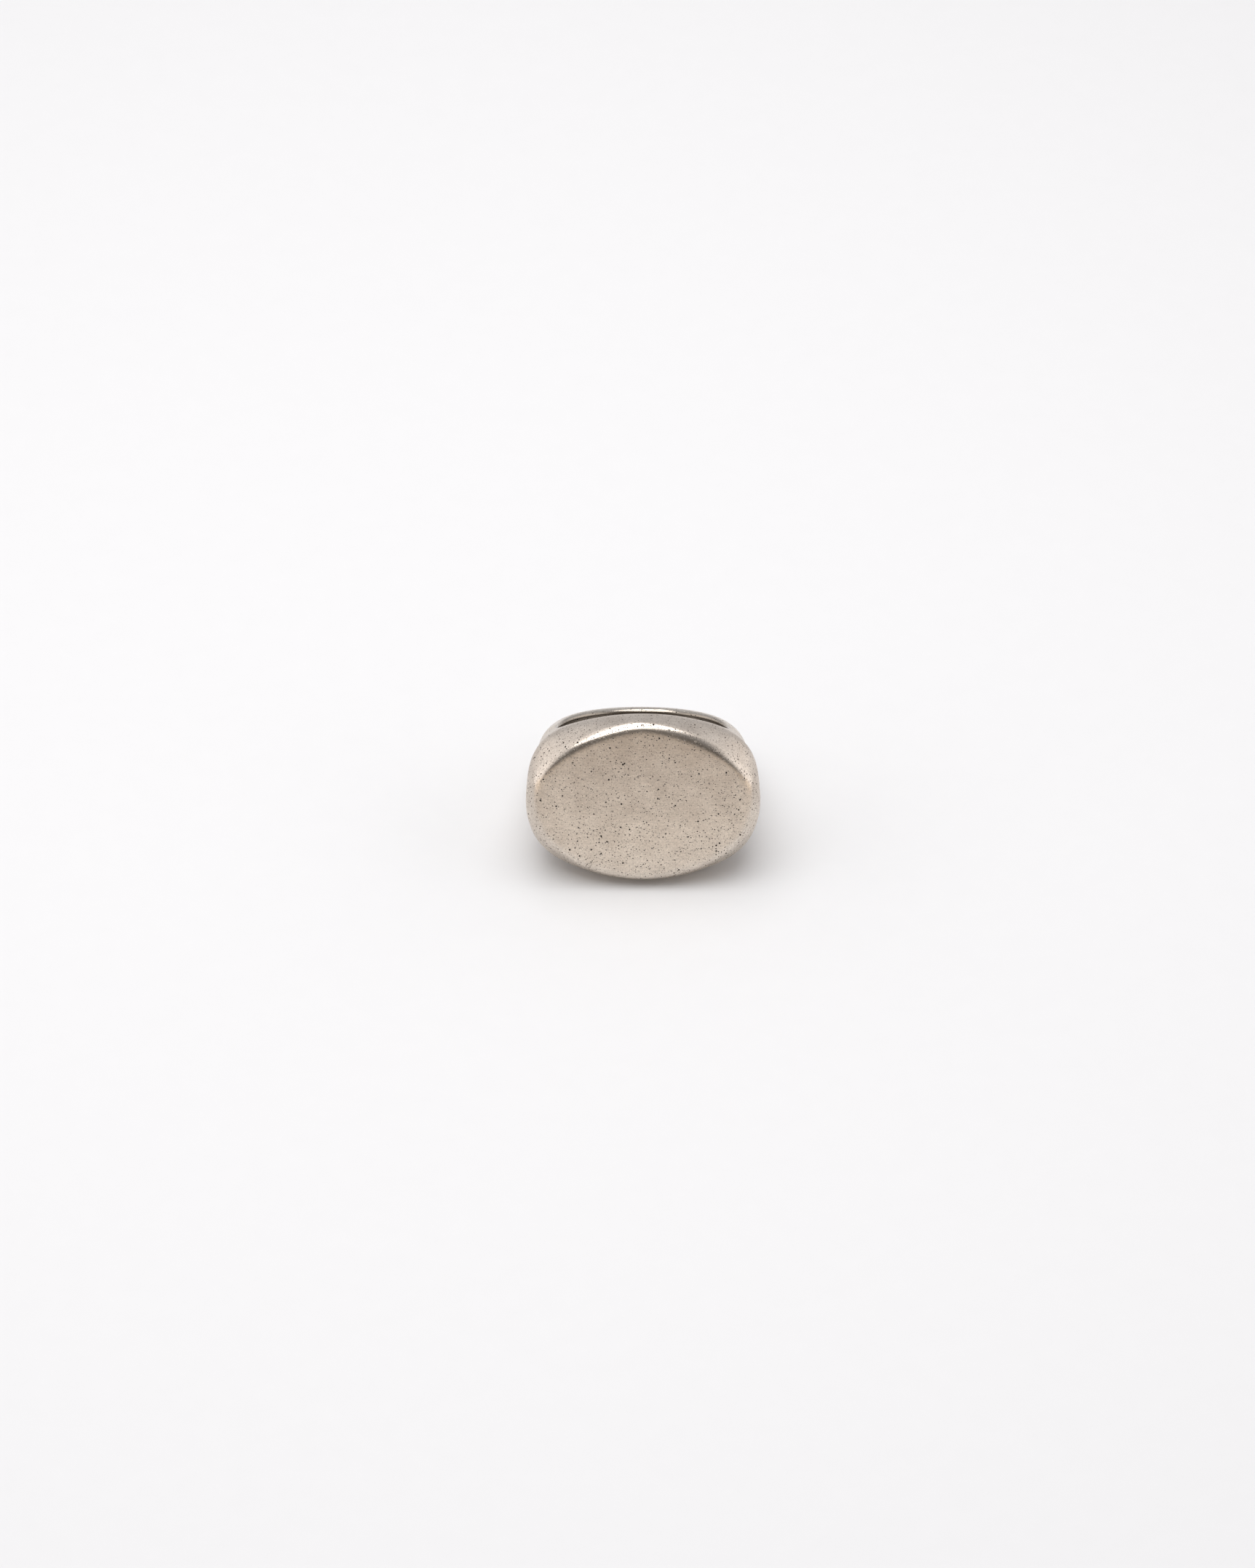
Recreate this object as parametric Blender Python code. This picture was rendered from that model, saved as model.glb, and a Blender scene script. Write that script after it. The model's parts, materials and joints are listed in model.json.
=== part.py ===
"""Signet ring with a blank oval table, lying on its side as it comes to rest.

Four solids: the head with its shoulders, the shank, and the two solder seams that join them.
The ring's own frame has the finger bore along Z, the table towards -Y and X across the finger.
The whole ring is then tilted back about X until its head and its shank both touch the ground.
"""

import bmesh
import bpy
import numpy as np
from math import cos, pi, radians, sin
from mathutils import Matrix

# Driving dimensions, in metres
BORE_RADIUS = 0.00925
TABLE_DISTANCE = 0.01317
HEAD_HALF_WIDTH = 0.01276
HEAD_HALF_HEIGHT = 0.00914
SIDE_RADIUS = 0.01150
BACK_RADIUS = 0.01158
BACK_HALF_HEIGHT = 0.00229

# How square a section is: 2 is an ellipse, more has fuller corners
FACE_CROWN = 1.79
HEAD_CROWN = 2.84
BACK_CROWN = 4.36
FACE_CROWN_FROM_Y = -0.00914
BACK_CROWN_FROM_Y = 0.00145
BACK_CROWN_TO_Y = 0.01044

# The low peak in the middle of the head's top edge
PEAK_HEIGHT = 0.00042
PEAK_HALF_WIDTH = 0.0042
PEAK_BACK = -0.004
PEAK_BLEND = 0.004

# Where along Y the height tapers from the head's to the shank's, and where the shoulders flare
TAPER_START = -0.00975
TAPER_END = 0.01114
TAPER_BLEND = 0.00077
TAPER_SAG = 0.00071
SHOULDER_FRONT = -0.01245
SHOULDER_BACK = 0.00199

# Roundings
TABLE_EDGE_TOP = 0.00110
TABLE_EDGE_SIDE = 0.00090
TABLE_EDGE_END = 0.00160
TABLE_EDGE_FROM_X = 0.00113
TABLE_EDGE_TO_X = 0.00813
END_FROM_X = 0.008
END_TO_X = 0.012
END_HALF_HEIGHT = 0.005
BORE_EDGE = 0.0005
BACK_BORE_EDGE = 0.0010

# The table is flat in the middle and falls away a little towards its edge
TABLE_FALL = 0.00020
TABLE_FLAT_SHARE = 0.49
TABLE_OUTLINE_POWER = 3.0

# The solder seams, measured round the bore from the middle of the table
SEAM_ANGLE = radians(100)
SEAM_THICKNESS = 0.0003
SEAM_GAP = 0.00005

# The round section that is spun about the bore before it takes the ring's shape
SECTION_CENTRE_RADIUS = 0.0105
SECTION_RADIUS = 0.001
SECTION_POINTS = 36
STEP_ANGLE = radians(4)
OUTER_SHARE = 0.75

# Searches along rays and over tilts
HALVINGS = 36
LONGEST_REACH = 0.03
MOST_RAY_LENGTHS = 3.0
MOST_TILT = radians(45)
TINY = 1e-12
LEAST_SLOPE = 50.0

SHARP_ANGLE = radians(60)

SILVER = (0.62, 0.585, 0.55, 1.0)
SOLDER = (0.64, 0.60, 0.54, 1.0)
SATIN_ROUGHNESS = 0.42
WORN_ROUGHNESS = 0.3
SOLDER_ROUGHNESS = 0.38


def ease(share):
    """A smooth ramp from 0 to 1."""
    share = np.clip(share, 0.0, 1.0)
    return share * share * (3.0 - 2.0 * share)


def rounded_ramp(distance, blend):
    """The distance where it is positive, and 0 where it is negative, with a soft change between."""
    share = np.clip((distance + blend) / (2.0 * blend), 0.0, 1.0)
    return np.where(distance > blend, distance, blend * share * share)


def half_height(y):
    """Half the ring's height along the bore: full at the head, then a hollow taper to the shank."""
    started = rounded_ramp(y - TAPER_START, TAPER_BLEND)
    along = (started - rounded_ramp(y - TAPER_END, TAPER_BLEND)) / (TAPER_END - TAPER_START)
    sag = TAPER_SAG * np.sin(pi * np.clip(along, 0.0, 1.0))
    return HEAD_HALF_HEIGHT + (BACK_HALF_HEIGHT - HEAD_HALF_HEIGHT) * along - sag


def top_peak(x, y, z):
    """How far the head's top edge rises above its oval, to a low peak in the middle."""
    on_top = np.where(z > 0.0, ease((PEAK_BACK - y) / PEAK_BLEND), 0.0)
    return PEAK_HEIGHT * on_top * np.exp(-((x / PEAK_HALF_WIDTH) ** 2))


def half_width(y):
    """Half the ring's width: the shoulders flare out towards the head."""
    flare = ease((SHOULDER_BACK - y) / (SHOULDER_BACK - SHOULDER_FRONT))
    return SIDE_RADIUS + (HEAD_HALF_WIDTH - SIDE_RADIUS) * flare


def crown(y):
    """How square the section is: an oval at the table, fuller behind it, a flat band at the back."""
    at_table = ease((FACE_CROWN_FROM_Y - y) / (FACE_CROWN_FROM_Y + TABLE_DISTANCE))
    at_back = ease((y - BACK_CROWN_FROM_Y) / (BACK_CROWN_TO_Y - BACK_CROWN_FROM_Y))
    head = HEAD_CROWN + (FACE_CROWN - HEAD_CROWN) * at_table
    return head + (BACK_CROWN - HEAD_CROWN) * at_back


def edge_radius(x, z):
    """Soft at the middle of the table's long edges, tighter towards its ends."""
    along = ease((np.abs(x) - TABLE_EDGE_FROM_X) / (TABLE_EDGE_TO_X - TABLE_EDGE_FROM_X))
    radius = TABLE_EDGE_TOP + (TABLE_EDGE_SIDE - TABLE_EDGE_TOP) * along
    near_end = ease((np.abs(x) - END_FROM_X) / (END_TO_X - END_FROM_X))
    near_end = near_end * ease(1.0 - np.abs(z) / END_HALF_HEIGHT)
    return radius + (TABLE_EDGE_END - radius) * near_end


def bore_edge_radius(y):
    """The bore's edge is rounder at the back, where a finger rubs it."""
    return BORE_EDGE + (BACK_BORE_EDGE - BORE_EDGE) * ease(y / BACK_RADIUS)


def meet(surfaces, radius):
    """Where the insides of several surfaces overlap, with their shared edges rounded."""
    outside = sum(np.maximum(surface + radius, 0.0) ** 2 for surface in surfaces)
    return np.sqrt(outside) + np.minimum(np.maximum.reduce(surfaces), -radius)


def depth(x, y, z):
    """About the distance from a point to the ring's surface, negative inside the metal.

    The head's outline across the finger is a superellipse, and so is each section of the shank.
    """
    from_axis = np.hypot(x, y)
    behind = y > 0.0
    band_radius = SIDE_RADIUS + (BACK_RADIUS - SIDE_RADIUS) * ease(y / BACK_RADIUS)
    width, height = np.where(behind, band_radius, half_width(y)), half_height(y) + top_peak(x, y, z)
    u, w = np.where(behind, from_axis, np.abs(x)) / width, np.abs(z) / height
    power = crown(y)
    oval = (u**power + w**power + TINY) ** (1.0 / power)
    slope = np.hypot(u ** (power - 1.0) / width, w ** (power - 1.0) / height)
    slope = np.maximum(slope * oval ** (1.0 - power), LEAST_SLOPE)
    body = (oval - 1.0) / slope

    power = TABLE_OUTLINE_POWER
    u, w = np.abs(x) / HEAD_HALF_WIDTH, np.abs(z) / HEAD_HALF_HEIGHT
    across = (u**power + w**power + TINY) ** (1.0 / power)
    fall = np.maximum(across - TABLE_FLAT_SHARE, 0.0) / (1.0 - TABLE_FLAT_SHARE)
    table = -y - TABLE_DISTANCE + TABLE_FALL * fall * fall

    outer = meet([body, table], edge_radius(x, z))
    return meet([outer, BORE_RADIUS - from_axis], bore_edge_radius(y))


def reach(start, toward, longest):
    """How far each ray runs from its start before it leaves the metal."""
    near = np.zeros(start.shape[:-1])
    far = np.full(start.shape[:-1], longest)
    for _ in range(HALVINGS):
        middle = (near + far) / 2.0
        point = start + toward * middle[..., None]
        inside = depth(point[..., 0], point[..., 1], point[..., 2]) < 0.0
        near = np.where(inside, middle, near)
        far = np.where(inside, far, middle)
    return near


def on_surface(angle, turn):
    """The point of the ring's surface at an angle round the bore and a turn round its section.

    Turns near half a circle lie on the straight bore wall, between its two edges. The others fan
    out over the rest of the section.
    """
    outward = np.stack([np.sin(angle), -np.cos(angle), 0.0 * angle], axis=-1)
    upward = np.zeros_like(outward)
    upward[..., 2] = 1.0
    bore_side = outward * (BORE_RADIUS + BORE_EDGE)
    wall = BORE_EDGE + reach(bore_side, outward, LONGEST_REACH)
    centre = outward * (BORE_RADIUS + wall / 2.0)[..., None]
    tall = reach(centre, upward, LONGEST_REACH)
    edge_height = reach(bore_side, upward, LONGEST_REACH) / tall

    corner = np.arctan2(edge_height, -1.0)
    share = np.abs(turn) / pi
    fan = corner * share / OUTER_SHARE
    up_wall = edge_height * (1.0 - share) / (1.0 - OUTER_SHARE)
    on_bore = share > OUTER_SHARE
    across = np.where(on_bore, -1.0, np.cos(fan))
    along = np.sign(turn) * np.where(on_bore, up_wall, np.sin(fan))
    ray = outward * (across * wall / 2.0)[..., None] + upward * (along * tall)[..., None]
    return centre + ray * reach(centre, ray, MOST_RAY_LENGTHS)[..., None]


def swept_ring_piece(name, first, last, material, collection):
    """A round section spun about the bore from one angle to another, then shaped to the ring."""
    steps = max(1, round((last - first) / STEP_ANGLE))
    bm = bmesh.new()
    bmesh.ops.create_circle(bm, segments=SECTION_POINTS, radius=SECTION_RADIUS)
    stand_up = Matrix.Rotation(pi / 2, 4, "X")
    move_out = Matrix.Translation((SECTION_CENTRE_RADIUS, 0.0, 0.0))
    to_first = Matrix.Rotation(first - pi / 2, 4, "Z")
    bmesh.ops.transform(bm, matrix=to_first @ move_out @ stand_up, verts=bm.verts)
    bmesh.ops.spin(
        bm,
        geom=bm.verts[:] + bm.edges[:],
        axis=(0.0, 0.0, 1.0),
        cent=(0.0, 0.0, 0.0),
        angle=last - first,
        steps=steps,
    )
    bmesh.ops.holes_fill(bm, edges=[edge for edge in bm.edges if edge.is_boundary])

    points = np.array([vert.co for vert in bm.verts], dtype=float)
    angle = np.arctan2(points[:, 0], -points[:, 1])
    out = np.hypot(points[:, 0], points[:, 1]) - SECTION_CENTRE_RADIUS
    turn = np.arctan2(points[:, 2], out)
    for vert, place in zip(bm.verts, on_surface(angle, turn)):
        vert.co = place
    bmesh.ops.recalc_face_normals(bm, faces=bm.faces)

    mesh = bpy.data.meshes.new(name)
    bm.to_mesh(mesh)
    bm.free()
    mesh.shade_smooth()
    mesh.set_sharp_from_angle(angle=SHARP_ANGLE)
    mesh.materials.append(material)
    piece = bpy.data.objects.new(name, mesh)
    collection.objects.link(piece)
    return piece


def metal(name, colour, roughness):
    material = bpy.data.materials.new(name)
    material.use_nodes = True
    shader = material.node_tree.nodes["Principled BSDF"]
    shader.inputs["Base Color"].default_value = colour
    shader.inputs["Metallic"].default_value = 1.0
    shader.inputs["Roughness"].default_value = roughness
    return material


def signet_head(collection):
    end = SEAM_ANGLE - (SEAM_THICKNESS / 2.0 + SEAM_GAP) / SIDE_RADIUS
    satin = metal("satin_silver", SILVER, SATIN_ROUGHNESS)
    return swept_ring_piece("signet_head", -end, end, satin, collection)


def shank(collection):
    start = SEAM_ANGLE + (SEAM_THICKNESS / 2.0 + SEAM_GAP) / SIDE_RADIUS
    worn = metal("worn_silver", SILVER, WORN_ROUGHNESS)
    return swept_ring_piece("shank", start, 2.0 * pi - start, worn, collection)


def solder_seam(name, side, collection):
    half = SEAM_THICKNESS / 2.0 / SIDE_RADIUS
    middle = SEAM_ANGLE * side
    solder = metal(name + "_solder", SOLDER, SOLDER_ROUGHNESS)
    return swept_ring_piece(name, middle - half, middle + half, solder, collection)


def lowest(points, tilt):
    return (points[:, 2] * cos(tilt) - points[:, 1] * sin(tilt)).min()


def resting_tilt(pieces):
    """The tilt about X at which the head and the shank both touch level ground."""
    points = np.array([vert.co for piece in pieces for vert in piece.data.vertices], dtype=float)
    front, back = points[points[:, 1] < 0.0], points[points[:, 1] >= 0.0]
    less, more = 0.0, MOST_TILT
    for _ in range(HALVINGS):
        middle = (less + more) / 2.0
        if lowest(front, middle) > lowest(back, middle):
            more = middle
        else:
            less = middle
    return less, points


def lay_down(pieces, collection):
    """Parents the pieces to an empty that tilts the ring and stands it on Z = 0, centred."""
    tilt, points = resting_tilt(pieces)
    turned_y = points[:, 1] * cos(tilt) + points[:, 2] * sin(tilt)
    laid = bpy.data.objects.new("ring_laid_down", None)
    collection.objects.link(laid)
    laid.rotation_euler = (-tilt, 0.0, 0.0)
    laid.location = (0.0, -(turned_y.min() + turned_y.max()) / 2.0, -lowest(points, tilt))
    for piece in pieces:
        piece.parent = laid


def clear_scene():
    for item in list(bpy.data.objects):
        bpy.data.objects.remove(item, do_unlink=True)


def main():
    clear_scene()
    collection = bpy.data.collections.new("signet_ring")
    bpy.context.scene.collection.children.link(collection)
    pieces = [
        signet_head(collection),
        shank(collection),
        solder_seam("solder_seam_left", -1, collection),
        solder_seam("solder_seam_right", 1, collection),
    ]
    lay_down(pieces, collection)


main()
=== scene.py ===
"""A blank oval signet ring in matt sterling silver, lying on its side on a pale studio floor."""

import json
from math import asin, cos, pi, radians, sin

import bmesh
import bpy
import numpy as np
from mathutils import Matrix, Vector


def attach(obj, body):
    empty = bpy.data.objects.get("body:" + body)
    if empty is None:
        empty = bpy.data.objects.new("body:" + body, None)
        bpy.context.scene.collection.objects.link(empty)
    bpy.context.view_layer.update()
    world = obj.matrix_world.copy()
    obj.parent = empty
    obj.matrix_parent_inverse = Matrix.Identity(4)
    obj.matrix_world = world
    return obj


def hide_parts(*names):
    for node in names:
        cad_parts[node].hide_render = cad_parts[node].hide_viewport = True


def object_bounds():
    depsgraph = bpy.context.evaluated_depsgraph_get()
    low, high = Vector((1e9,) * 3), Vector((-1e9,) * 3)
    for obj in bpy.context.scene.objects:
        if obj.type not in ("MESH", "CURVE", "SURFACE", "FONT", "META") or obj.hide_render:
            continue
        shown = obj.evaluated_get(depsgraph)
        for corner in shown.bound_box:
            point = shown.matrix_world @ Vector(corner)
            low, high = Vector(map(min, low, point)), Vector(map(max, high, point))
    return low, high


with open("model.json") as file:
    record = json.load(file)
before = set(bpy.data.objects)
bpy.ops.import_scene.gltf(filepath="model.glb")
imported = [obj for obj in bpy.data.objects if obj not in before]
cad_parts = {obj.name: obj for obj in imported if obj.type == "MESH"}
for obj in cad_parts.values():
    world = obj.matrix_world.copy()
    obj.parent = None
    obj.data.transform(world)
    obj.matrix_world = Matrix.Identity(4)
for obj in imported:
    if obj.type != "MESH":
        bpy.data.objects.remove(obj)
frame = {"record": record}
CAD_LOW, CAD_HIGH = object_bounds()

# Driving dimensions of the ring, in metres
BORE_RADIUS = 0.00925
TABLE_DISTANCE = 0.01317
HEAD_HALF_WIDTH = 0.01276
HEAD_HALF_HEIGHT = 0.00914
SIDE_RADIUS = 0.01150
BACK_RADIUS = 0.01158
BACK_HALF_HEIGHT = 0.00229

# How square a section is: 2 is an ellipse, more has fuller corners
FACE_CROWN = 1.79
HEAD_CROWN = 2.84
BACK_CROWN = 4.36
FACE_CROWN_FROM_Y = -0.00914
BACK_CROWN_FROM_Y = 0.00145
BACK_CROWN_TO_Y = 0.01044

# The low peak in the middle of the head's top edge
PEAK_HEIGHT = 0.00042
PEAK_HALF_WIDTH = 0.0042
PEAK_BACK = -0.004
PEAK_BLEND = 0.004

# Where along Y the height tapers from the head's to the shank's, and where the shoulders flare
TAPER_START = -0.00975
TAPER_END = 0.01114
TAPER_BLEND = 0.00077
TAPER_SAG = 0.00071
SHOULDER_FRONT = -0.01245
SHOULDER_BACK = 0.00199

# Roundings
TABLE_EDGE_TOP = 0.00110
TABLE_EDGE_SIDE = 0.00090
TABLE_EDGE_END = 0.00160
TABLE_EDGE_FROM_X = 0.00113
TABLE_EDGE_TO_X = 0.00813
END_FROM_X = 0.008
END_TO_X = 0.012
END_HALF_HEIGHT = 0.005
BORE_EDGE = 0.0005
BACK_BORE_EDGE = 0.0010

# The table is flat in the middle and falls away a little towards its edge
TABLE_FALL = 0.00020
TABLE_FLAT_SHARE = 0.49
TABLE_OUTLINE_POWER = 3.0

# The solder seams, measured round the bore from the middle of the table
SEAM_ANGLE = radians(100)
SEAM_THICKNESS = 0.0003

# The round section that is spun about the bore before it takes the ring's shape
SECTION_CENTRE_RADIUS = 0.0105
SECTION_RADIUS = 0.001
SECTION_POINTS = 176
STEP_ANGLE = radians(0.8)
OUTER_SHARE = 0.78

# Searches along rays
HALVINGS = 30
LONGEST_REACH = 0.03
MOST_RAY_LENGTHS = 3.0
TINY = 1e-12
LEAST_SLOPE = 50.0
SHARP_ANGLE = radians(60)

# The studio: the camera stands well back and looks down on the ring through a long lens
CAMERA_DISTANCE = 0.900
CAMERA_ELEVATION = radians(42.06)
CAMERA_AZIMUTH = radians(-0.67)
CAMERA_ROLL = radians(0.62)
CAMERA_LENS = 188.7
AIM_LEFT = 0.00162
AIM_DOWN = 0.00432
CLIP_START, CLIP_END = 0.01, 10.0
FLOOR_HALF_SIZE = 3.0

# The softbox over the ring, a little to the left and behind it
SOFTBOX_TOWARD = (-0.10, 0.06, 1.0)
SOFTBOX_DISTANCE = 0.42
SOFTBOX_SIZE = (0.46, 0.42)
SOFTBOX_RADIANCE = 3.0

# The glow of the room's walls, as linear radiance
ROOM_IN_FRONT = (0.16, 0.15, 0.14, 1.0)
ROOM_BEHIND = (0.70, 0.72, 0.76, 1.0)
SIDE_PANELS = (1.55, 1.53, 1.54, 1.0)
LOW_BAND = (1.38, 1.2, 1.01, 1.0)

# Where one part of the room changes into the next, by the parts of a unit vector that points there
FRONT_TO_BEHIND_Y = (-0.6, 0.4)
LOW_BAND_Z = (0.3, 0.08)
LOW_BAND_Y = (-0.2, -0.6)
SIDE_PANELS_X = (0.6, 0.85)

# Bright and dull colour of each metal, and its roughness where it is satin and where burnished
HEAD_SILVER = ("DFD5C9", "BCB0A4", 0.40, 0.15)
SHANK_SILVER = ("DDD4C9", "C0B6AA", 0.30, 0.15)
SOLDER_SILVER = ("DACFBA", "C9BC9F", 0.34, 0.2)

# Tarnish clouds over the outside, painted shade that darkens the outside higher up and painted light
# that brightens it low down, and an even painted shade in the bore
MM = 0.001
CLOUD_SIZE = 2.5 * MM
PAINTED_SHADE_HEIGHTS = (5 * MM, 16 * MM)
PAINTED_SHADE_ADDED = (-0.25, 0.35)
PAINTED_SHADE_BORE = "8A8075"

# Grain and brush lines, and how much they darken or brighten the metal
GRAIN_SIZE = 0.16 * MM
BRUSH_LINE_WIDTH = 0.12 * MM
BRUSH_LINE_SQUEEZE = 0.12
BRUSH_LINE_SLANT = 0.12
BRUSH_LINE_SHARE = 0.5
MOTTLE_SPAN = (0.5, 1.0)
MOTTLE_BRIGHTNESS = (0.8, 1.14)

# Spacing and radius of each size of casting pit, in millimetres, and the share that is open
CASTING_PITS = ((0.8, 0.13, 0.6), (0.34, 0.08, 0.65), (0.2, 0.048, 0.6))
PIT_FLOOR_SHARE = 0.5
PIT_RAGGED_BY = 0.12 * MM
PIT_ROUGHNESS = 0.75
SULPHIDE = "2A2622"

# Wear and relief, with the heights as shares of the relief's depth
RUBBED_SPAN = (0.2, 0.9)
RELIEF_DEPTH = 0.05 * MM
PIT_HEIGHT = -0.8
GRAIN_HEIGHT = 0.12

# The paper
PAPER_FIBRE_SIZE = 3.0 * MM
PAPER_COLOURS = ("DAD9D9", "D8D7D7")
PAPER_ROUGHNESS = 0.9
PAPER_SPECULAR = 0.1

# Octaves of each noise
CLOUD_DETAIL = 4.0
GRAIN_DETAIL = 3.0
BRUSH_LINE_DETAIL = 2.0
PAPER_DETAIL = 4.0


def ease(share):
    """A smooth ramp from 0 to 1."""
    share = np.clip(share, 0.0, 1.0)
    return share * share * (3.0 - 2.0 * share)


def rounded_ramp(distance, blend):
    """The distance where it is positive, and 0 where it is negative, with a soft change between."""
    share = np.clip((distance + blend) / (2.0 * blend), 0.0, 1.0)
    return np.where(distance > blend, distance, blend * share * share)


def half_height(y):
    """Half the ring's height along the bore: full at the head, then a hollow taper to the shank."""
    started = rounded_ramp(y - TAPER_START, TAPER_BLEND)
    along = (started - rounded_ramp(y - TAPER_END, TAPER_BLEND)) / (TAPER_END - TAPER_START)
    sag = TAPER_SAG * np.sin(pi * np.clip(along, 0.0, 1.0))
    return HEAD_HALF_HEIGHT + (BACK_HALF_HEIGHT - HEAD_HALF_HEIGHT) * along - sag


def top_peak(x, y, z):
    """How far the head's top edge rises above its oval, to a low peak in the middle."""
    on_top = np.where(z > 0.0, ease((PEAK_BACK - y) / PEAK_BLEND), 0.0)
    return PEAK_HEIGHT * on_top * np.exp(-((x / PEAK_HALF_WIDTH) ** 2))


def half_width(y):
    """Half the ring's width: the shoulders flare out towards the head."""
    flare = ease((SHOULDER_BACK - y) / (SHOULDER_BACK - SHOULDER_FRONT))
    return SIDE_RADIUS + (HEAD_HALF_WIDTH - SIDE_RADIUS) * flare


def crown(y):
    """How square the section is: an oval at the table, fuller behind it, a flat band at the back."""
    at_table = ease((FACE_CROWN_FROM_Y - y) / (FACE_CROWN_FROM_Y + TABLE_DISTANCE))
    at_back = ease((y - BACK_CROWN_FROM_Y) / (BACK_CROWN_TO_Y - BACK_CROWN_FROM_Y))
    head = HEAD_CROWN + (FACE_CROWN - HEAD_CROWN) * at_table
    return head + (BACK_CROWN - HEAD_CROWN) * at_back


def edge_radius(x, z):
    """Soft at the middle of the table's long edges, tighter towards its ends."""
    along = ease((np.abs(x) - TABLE_EDGE_FROM_X) / (TABLE_EDGE_TO_X - TABLE_EDGE_FROM_X))
    radius = TABLE_EDGE_TOP + (TABLE_EDGE_SIDE - TABLE_EDGE_TOP) * along
    near_end = ease((np.abs(x) - END_FROM_X) / (END_TO_X - END_FROM_X))
    near_end = near_end * ease(1.0 - np.abs(z) / END_HALF_HEIGHT)
    return radius + (TABLE_EDGE_END - radius) * near_end


def bore_edge_radius(y):
    """The bore's edge is rounder at the back, where a finger rubs it."""
    return BORE_EDGE + (BACK_BORE_EDGE - BORE_EDGE) * ease(y / BACK_RADIUS)


def meet(surfaces, radius):
    """Where the insides of several surfaces overlap, with their shared edges rounded."""
    outside = sum(np.maximum(surface + radius, 0.0) ** 2 for surface in surfaces)
    return np.sqrt(outside) + np.minimum(np.maximum.reduce(surfaces), -radius)


def on_edge(one, other, radius):
    """1 in the middle of the rounding between two surfaces, and 0 off it."""
    return np.clip(np.minimum(one, other) / radius + 1.0, 0.0, 1.0) / sin(pi / 4)


def body_and_table(x, y, z):
    """About the distances to the ring's outer surface and to its table, negative inside."""
    from_axis = np.hypot(x, y)
    behind = y > 0.0
    band_radius = SIDE_RADIUS + (BACK_RADIUS - SIDE_RADIUS) * ease(y / BACK_RADIUS)
    width, height = np.where(behind, band_radius, half_width(y)), half_height(y) + top_peak(x, y, z)
    u, w = np.where(behind, from_axis, np.abs(x)) / width, np.abs(z) / height
    power = crown(y)
    oval = (u**power + w**power + TINY) ** (1.0 / power)
    slope = np.hypot(u ** (power - 1.0) / width, w ** (power - 1.0) / height)
    slope = np.maximum(slope * oval ** (1.0 - power), LEAST_SLOPE)

    power = TABLE_OUTLINE_POWER
    across_u, across_w = np.abs(x) / HEAD_HALF_WIDTH, np.abs(z) / HEAD_HALF_HEIGHT
    across = (across_u**power + across_w**power + TINY) ** (1.0 / power)
    fall = np.maximum(across - TABLE_FLAT_SHARE, 0.0) / (1.0 - TABLE_FLAT_SHARE)
    return (oval - 1.0) / slope, -y - TABLE_DISTANCE + TABLE_FALL * fall * fall


def depth(x, y, z):
    """About the distance from a point to the ring's surface, negative inside the metal."""
    body, table = body_and_table(x, y, z)
    outer = meet([body, table], edge_radius(x, z))
    return meet([outer, BORE_RADIUS - np.hypot(x, y)], bore_edge_radius(y))


def reach(start, toward, longest):
    """How far each ray runs from its start before it leaves the metal."""
    near = np.zeros(start.shape[:-1])
    far = np.full(start.shape[:-1], longest)
    for _ in range(HALVINGS):
        middle = (near + far) / 2.0
        point = start + toward * middle[..., None]
        inside = depth(point[..., 0], point[..., 1], point[..., 2]) < 0.0
        near = np.where(inside, middle, near)
        far = np.where(inside, far, middle)
    return near


def on_surface(angle, turn):
    """The point of the ring's surface at an angle round the bore and a turn round its section."""
    outward = np.stack([np.sin(angle), -np.cos(angle), 0.0 * angle], axis=-1)
    upward = np.zeros_like(outward)
    upward[..., 2] = 1.0
    bore_side = outward * (BORE_RADIUS + BORE_EDGE)
    wall = BORE_EDGE + reach(bore_side, outward, LONGEST_REACH)
    centre = outward * (BORE_RADIUS + wall / 2.0)[..., None]
    tall = reach(centre, upward, LONGEST_REACH)
    edge_height = reach(bore_side, upward, LONGEST_REACH) / tall

    corner = np.arctan2(edge_height, -1.0)
    share = np.abs(turn) / pi
    fan = corner * share / OUTER_SHARE
    up_wall = edge_height * (1.0 - share) / (1.0 - OUTER_SHARE)
    on_bore = share > OUTER_SHARE
    across = np.where(on_bore, -1.0, np.cos(fan))
    along = np.sign(turn) * np.where(on_bore, up_wall, np.sin(fan))
    ray = outward * (across * wall / 2.0)[..., None] + upward * (along * tall)[..., None]
    return centre + ray * reach(centre, ray, MOST_RAY_LENGTHS)[..., None]


def laid_down():
    """The turn and the place of the ring as it lies, from where the frame says its table is."""
    table = frame["record"]["mounts"][0]
    faces = Vector(table["axis"]).normalized()
    bore_middle = Vector(table["pos_m"]) - faces * TABLE_DISTANCE
    return Matrix.Translation(bore_middle) @ Matrix.Rotation(-asin(faces.z), 4, "X")


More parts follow.
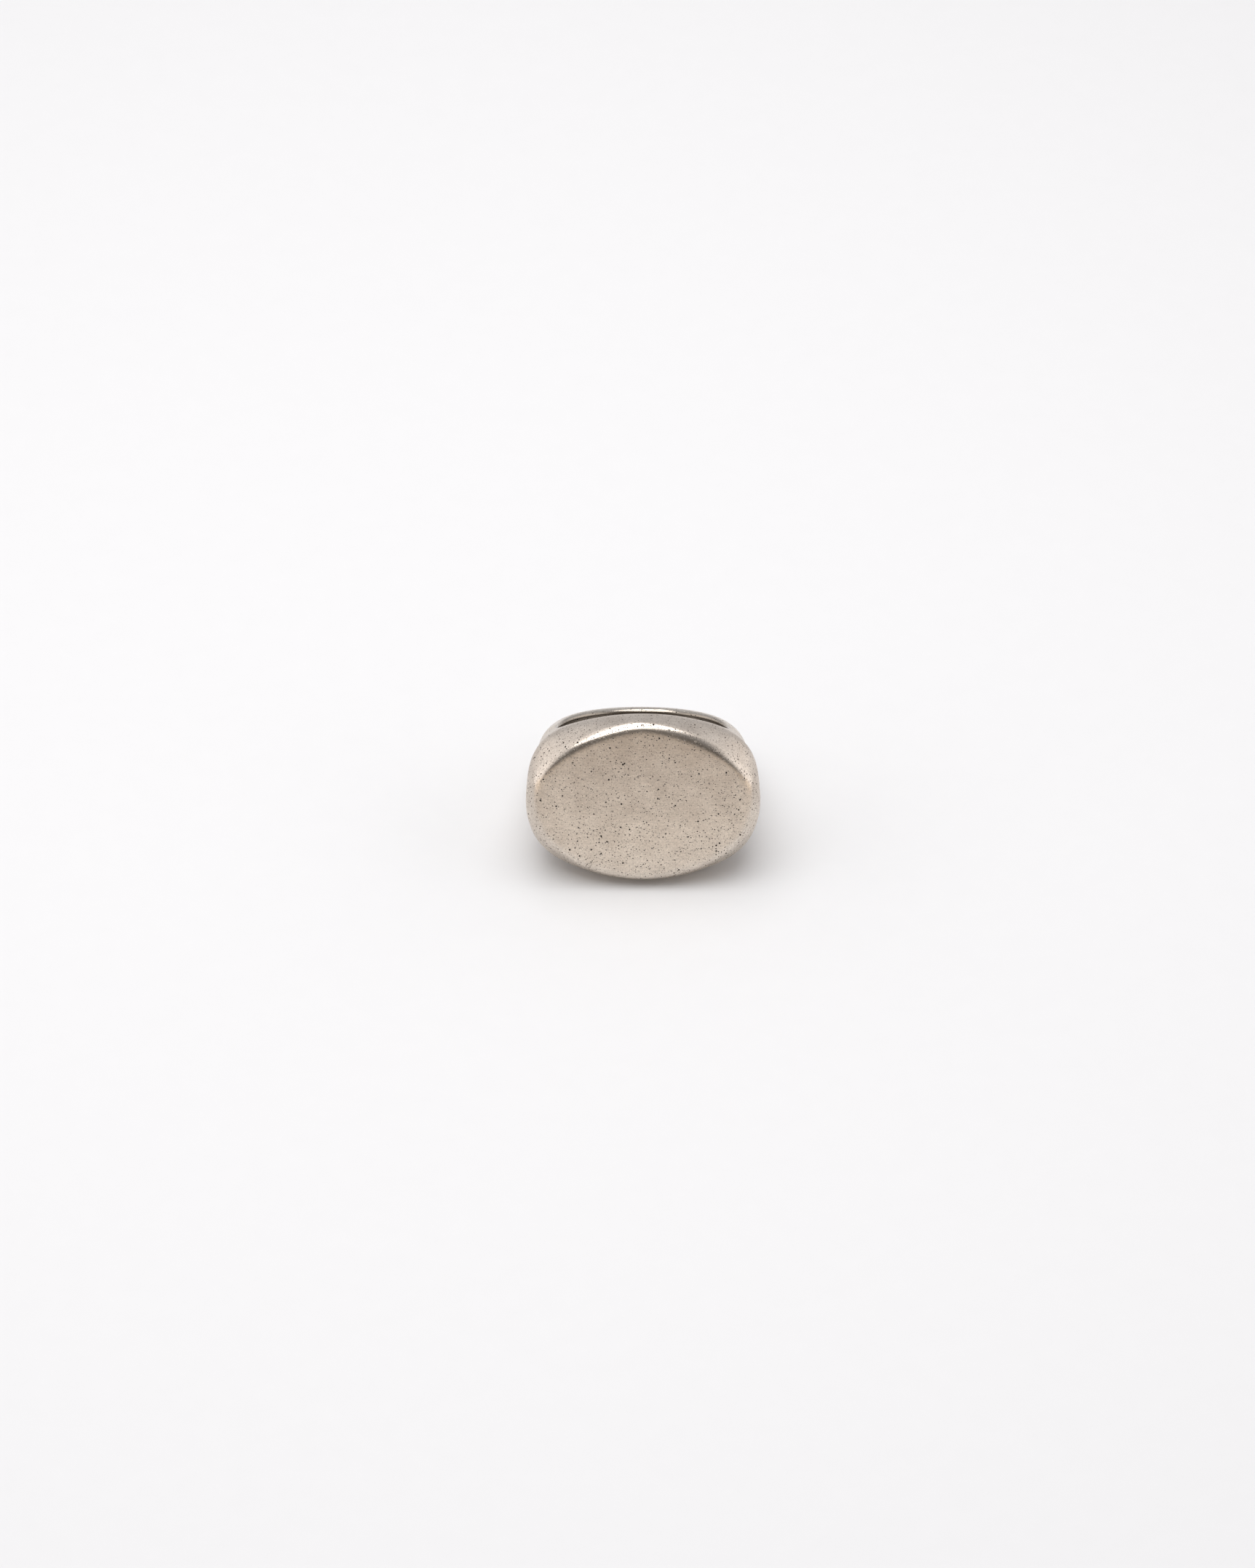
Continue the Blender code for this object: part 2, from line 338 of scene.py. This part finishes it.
def swept_ring_piece(name, first, last, material):
    """A round section spun about the bore from one angle to another, then shaped to the ring."""
    steps = max(2, round((last - first) / STEP_ANGLE))
    bm = bmesh.new()
    bmesh.ops.create_circle(bm, segments=SECTION_POINTS, radius=SECTION_RADIUS)
    stand_up = Matrix.Rotation(pi / 2, 4, "X")
    move_out = Matrix.Translation((SECTION_CENTRE_RADIUS, 0.0, 0.0))
    to_first = Matrix.Rotation(first - pi / 2, 4, "Z")
    bmesh.ops.transform(bm, matrix=to_first @ move_out @ stand_up, verts=bm.verts)
    bmesh.ops.spin(
        bm,
        geom=bm.verts[:] + bm.edges[:],
        axis=(0.0, 0.0, 1.0),
        cent=(0.0, 0.0, 0.0),
        angle=last - first,
        steps=steps,
    )
    bmesh.ops.holes_fill(bm, edges=[edge for edge in bm.edges if edge.is_boundary])

    points = np.array([vert.co for vert in bm.verts], dtype=float)
    angle = np.arctan2(points[:, 0], -points[:, 1])
    out = np.hypot(points[:, 0], points[:, 1]) - SECTION_CENTRE_RADIUS
    places = on_surface(angle, np.arctan2(points[:, 2], out))
    for vert, place in zip(bm.verts, places):
        vert.co = place
    bmesh.ops.recalc_face_normals(bm, faces=bm.faces)

    mesh = bpy.data.meshes.new(name)
    bm.to_mesh(mesh)
    bm.free()
    body, table = body_and_table(*places.T)
    radius = edge_radius(places[:, 0], places[:, 2])
    bore = BORE_RADIUS - np.hypot(places[:, 0], places[:, 1])
    bore_rounding = bore_edge_radius(places[:, 1])
    rubbed = np.maximum(
        on_edge(body, table, radius), on_edge(np.maximum(body, table), bore, bore_rounding)
    )
    # Where the bore is, which gets painted shade
    inside = np.clip(1.0 + bore / BORE_EDGE, 0.0, 1.0)
    for kind, amount in (("rubbed", rubbed), ("inside", inside)):
        values = mesh.attributes.new(kind, "FLOAT", "POINT").data
        values.foreach_set("value", amount.astype(np.float32))
    mesh.transform(laid_down())
    mesh.shade_smooth()
    mesh.set_sharp_from_angle(angle=SHARP_ANGLE)
    mesh.materials.append(material)
    piece = bpy.data.objects.new(name, mesh)
    bpy.context.collection.objects.link(piece)
    return piece


def linear(hex_colour):
    """An sRGB hex colour as linear RGBA."""
    parts = [int(hex_colour[i : i + 2], 16) / 255 for i in (0, 2, 4)]
    return [p / 12.92 if p <= 0.04045 else ((p + 0.055) / 1.055) ** 2.4 for p in parts] + [1.0]


def add_node(tree, kind, inputs=None, **settings):
    """Adds a node, sets its settings, and sets or links its inputs."""
    node = tree.nodes.new(kind)
    for name, value in settings.items():
        setattr(node, name, value)
    for socket, value in (inputs or {}).items():
        if isinstance(value, bpy.types.NodeSocket):
            tree.links.new(value, node.inputs[socket])
        else:
            node.inputs[socket].default_value = value
    return node


def ramp(tree, value, span, levels=(0.0, 1.0)):
    """Runs from one level to the other as the value crosses the span, and is steady outside it."""
    inputs = {"Value": value, "From Min": span[0], "From Max": span[1]}
    inputs.update({"To Min": levels[0], "To Max": levels[1]})
    return add_node(tree, "ShaderNodeMapRange", inputs).outputs["Result"]


def arithmetic(tree, operation, *values):
    """One step of arithmetic on numbers or sockets."""
    return add_node(tree, "ShaderNodeMath", dict(enumerate(values)), operation=operation).outputs[0]


def mixed_colour(tree, share, one, other):
    """One colour mixed with a share of the other."""
    return add_node(tree, "ShaderNodeMix", {0: share, 6: one, 7: other}, data_type="RGBA").outputs[2]


def noise(tree, place, size, detail):
    """A noise texture whose features are about this size."""
    inputs = {"Vector": place, "Scale": 1 / size, "Detail": detail}
    return add_node(tree, "ShaderNodeTexNoise", inputs)


def new_material(name):
    """A material, with its node tree, its shader and a socket for the place on the object."""
    material = bpy.data.materials.new(name)
    material.use_nodes = True
    tree = material.node_tree
    place = add_node(tree, "ShaderNodeTexCoord").outputs["Object"]
    return material, tree, tree.nodes["Principled BSDF"], place


def casting_pits(tree, place):
    """1 in small round pits of a few sizes and 0 between them."""
    pits = None
    for size, radius, share in CASTING_PITS:
        inputs = {"Vector": place, "Scale": 1 / (size * MM)}
        cells = add_node(tree, "ShaderNodeTexVoronoi", inputs).outputs
        walls = (radius / size, PIT_FLOOR_SHARE * radius / size)
        edge = ramp(tree, cells["Distance"], walls)
        chance = add_node(tree, "ShaderNodeSeparateColor", {"Color": cells["Color"]}).outputs["Red"]
        chosen = arithmetic(tree, "LESS_THAN", chance, share)
        layer = arithmetic(tree, "MULTIPLY", edge, chosen)
        pits = layer if pits is None else arithmetic(tree, "MAXIMUM", pits, layer)
    return pits


def matt_silver(name, bright, dull, satin, burnished):
    """Cast sterling silver left matt from the tumbler, rubbed bright on its edges by wear.

    Small casting pits hold dark silver sulphide, so the surface is freckled. Fine lines run across
    the finger where the casting was brushed.
    """
    material, tree, shader, place = new_material(name)

    # Thin tarnish clouds the colour over a few millimetres, with painted shade darkening it towards
    # the ring's top and painted light brightening it low down
    cloud = noise(tree, place, CLOUD_SIZE, CLOUD_DETAIL).outputs["Fac"]
    height = add_node(tree, "ShaderNodeSeparateXYZ", {0: place}).outputs["Z"]
    tarnish_and_painted_shade = arithmetic(tree, "ADD", cloud, ramp(tree, height, PAINTED_SHADE_HEIGHTS, PAINTED_SHADE_ADDED))
    tint = mixed_colour(tree, tarnish_and_painted_shade, linear(bright), linear(dull))

    # The tumbled grain, and brush lines that are long across the finger
    grain = noise(tree, place, GRAIN_SIZE, GRAIN_DETAIL)
    slant, squeeze = (0.0, BRUSH_LINE_SLANT, 0.0), (BRUSH_LINE_SQUEEZE, 1.0, 1.0)
    inputs = {"Vector": place, "Rotation": slant, "Scale": squeeze}
    brushed = add_node(tree, "ShaderNodeMapping", inputs).outputs[0]
    lines = noise(tree, brushed, BRUSH_LINE_WIDTH, BRUSH_LINE_DETAIL).outputs["Fac"]
    mottle = arithmetic(tree, "MULTIPLY_ADD", lines, BRUSH_LINE_SHARE, grain.outputs["Fac"])
    inputs = {0: tint, 1: ramp(tree, mottle, MOTTLE_SPAN, MOTTLE_BRIGHTNESS)}
    outside = add_node(tree, "ShaderNodeVectorMath", inputs, operation="MULTIPLY").outputs[0]

    # The bore is painted darker, as painted shade inside the ring
    inside = add_node(tree, "ShaderNodeAttribute", attribute_name="inside").outputs["Fac"]
    metal = mixed_colour(tree, inside, outside, linear(PAINTED_SHADE_BORE))

    # The pits' outlines are made ragged by the grain
    inputs = {0: grain.outputs["Color"], 1: (PIT_RAGGED_BY,) * 3, 2: place}
    ragged = add_node(tree, "ShaderNodeVectorMath", inputs, operation="MULTIPLY_ADD").outputs[0]
    pits = casting_pits(tree, ragged)
    tree.links.new(mixed_colour(tree, pits, metal, linear(SULPHIDE)), shader.inputs["Base Color"])

    # Edges that rub against skin and cloth are burnished
    rubbed = add_node(tree, "ShaderNodeAttribute", attribute_name="rubbed").outputs["Fac"]
    inputs = {0: pits, 2: ramp(tree, rubbed, RUBBED_SPAN, (satin, burnished)), 3: PIT_ROUGHNESS}
    rough = add_node(tree, "ShaderNodeMix", inputs, data_type="FLOAT").outputs[0]
    tree.links.new(rough, shader.inputs["Roughness"])
    shader.inputs["Metallic"].default_value = 1.0

    # The pits are sunk, and the grain stands a little proud
    sunk = arithmetic(tree, "MULTIPLY", pits, PIT_HEIGHT)
    relief = arithmetic(tree, "MULTIPLY_ADD", mottle, GRAIN_HEIGHT, sunk)
    inputs = {"Height": relief, "Strength": 1.0, "Distance": RELIEF_DEPTH}
    bump = add_node(tree, "ShaderNodeBump", inputs).outputs["Normal"]
    tree.links.new(bump, shader.inputs["Normal"])
    return material


def white_paper():
    """The matt white studio paper, with the faint unevenness of its fibres."""
    material, tree, shader, place = new_material("white_paper")
    fibres = noise(tree, place, PAPER_FIBRE_SIZE, PAPER_DETAIL).outputs["Fac"]
    light, dark = PAPER_COLOURS
    colour = mixed_colour(tree, fibres, linear(light), linear(dark))
    tree.links.new(colour, shader.inputs["Base Color"])
    shader.inputs["Roughness"].default_value = PAPER_ROUGHNESS
    shader.inputs["Specular IOR Level"].default_value = PAPER_SPECULAR
    return material


def floor():
    """A wide sheet of paper under the ring."""
    bm = bmesh.new()
    bmesh.ops.create_grid(bm, x_segments=1, y_segments=1, size=FLOOR_HALF_SIZE)
    bmesh.ops.translate(bm, verts=bm.verts, vec=(0.0, 0.0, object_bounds()[0].z))
    mesh = bpy.data.meshes.new("studio_floor")
    bm.to_mesh(mesh)
    bm.free()
    mesh.materials.append(white_paper())
    obj = bpy.data.objects.new("studio_floor", mesh)
    bpy.context.collection.objects.link(obj)


def softbox_overhead():
    """A rectangular soft light that faces the ring."""
    light = bpy.data.lights.new("softbox_overhead", "AREA")
    light.shape = "RECTANGLE"
    width, length = SOFTBOX_SIZE
    light.size, light.size_y = width, length
    light.energy = SOFTBOX_RADIANCE * pi * width * length
    obj = bpy.data.objects.new("softbox_overhead", light)
    bpy.context.collection.objects.link(obj)
    toward = Vector(SOFTBOX_TOWARD)
    obj.location = (CAD_LOW + CAD_HIGH) / 2 + toward.normalized() * SOFTBOX_DISTANCE
    obj.rotation_euler = toward.to_track_quat("Z", "Y").to_euler()
    obj.visible_camera = False


def studio_room():
    """The walls as a glow by direction.

    The wall behind the ring is bright, and so are two panels at its sides. The side of the camera
    is dark, apart from a warm low band that the table mirrors.
    """
    world = bpy.data.worlds.new("studio_room")
    world.use_nodes = True
    bpy.context.scene.world = world
    tree = world.node_tree
    direction = add_node(tree, "ShaderNodeTexCoord").outputs["Generated"]
    parts = add_node(tree, "ShaderNodeSeparateXYZ", {0: direction}).outputs
    behind = ramp(tree, parts["Y"], FRONT_TO_BEHIND_Y)
    walls = mixed_colour(tree, behind, ROOM_IN_FRONT, ROOM_BEHIND)
    at_side = ramp(tree, arithmetic(tree, "ABSOLUTE", parts["X"]), SIDE_PANELS_X)
    panels = mixed_colour(tree, at_side, walls, SIDE_PANELS)
    low, front = ramp(tree, parts["Z"], LOW_BAND_Z), ramp(tree, parts["Y"], LOW_BAND_Y)
    band = arithmetic(tree, "MULTIPLY", low, front)
    glow = mixed_colour(tree, band, panels, LOW_BAND)
    tree.links.new(glow, tree.nodes["Background"].inputs["Color"])


def camera():
    """The camera looks at a point beside and below the ring's middle, turned by its roll."""
    middle = (CAD_LOW + CAD_HIGH) / 2
    back = Vector(
        (
            sin(CAMERA_AZIMUTH) * cos(CAMERA_ELEVATION),
            -cos(CAMERA_AZIMUTH) * cos(CAMERA_ELEVATION),
            sin(CAMERA_ELEVATION),
        )
    )
    facing = back.to_track_quat("Z", "Y")
    place = middle + back * CAMERA_DISTANCE
    aim = middle - facing @ Vector((AIM_LEFT, AIM_DOWN, 0.0))
    turn = (place - aim).to_track_quat("Z", "Y").to_matrix() @ Matrix.Rotation(CAMERA_ROLL, 3, "Z")
    data = bpy.data.cameras.new("camera")
    data.lens = CAMERA_LENS
    data.clip_start, data.clip_end = CLIP_START, CLIP_END
    obj = bpy.data.objects.new("camera", data)
    obj.matrix_world = Matrix.Translation(place) @ turn.to_4x4()
    bpy.context.collection.objects.link(obj)
    bpy.context.scene.camera = obj


def main():
    half_seam = SEAM_THICKNESS / 2.0 / SIDE_RADIUS
    before, after = SEAM_ANGLE - half_seam, SEAM_ANGLE + half_seam
    satin = matt_silver("matt_sterling_silver", *HEAD_SILVER)
    worn = matt_silver("worn_sterling_silver", *SHANK_SILVER)
    solder = matt_silver("hard_silver_solder", *SOLDER_SILVER)
    pieces = (
        ("head", "signet_head", "satin_silver", -before, before, satin),
        ("band", "shank", "worn_silver", after, 2.0 * pi - after, worn),
        ("seam_left", "solder_seam_left", "silver_solder", -after, -before, solder),
        ("seam_right", "solder_seam_right", "silver_solder", before, after, solder),
    )
    for name, node, slot, first, last, material in pieces:
        piece = swept_ring_piece(name, first, last, material)
        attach(piece, "root")
        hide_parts(node)
    floor()
    studio_room()
    softbox_overhead()
    camera()
    bpy.context.scene.view_settings.view_transform = "Standard"


main()
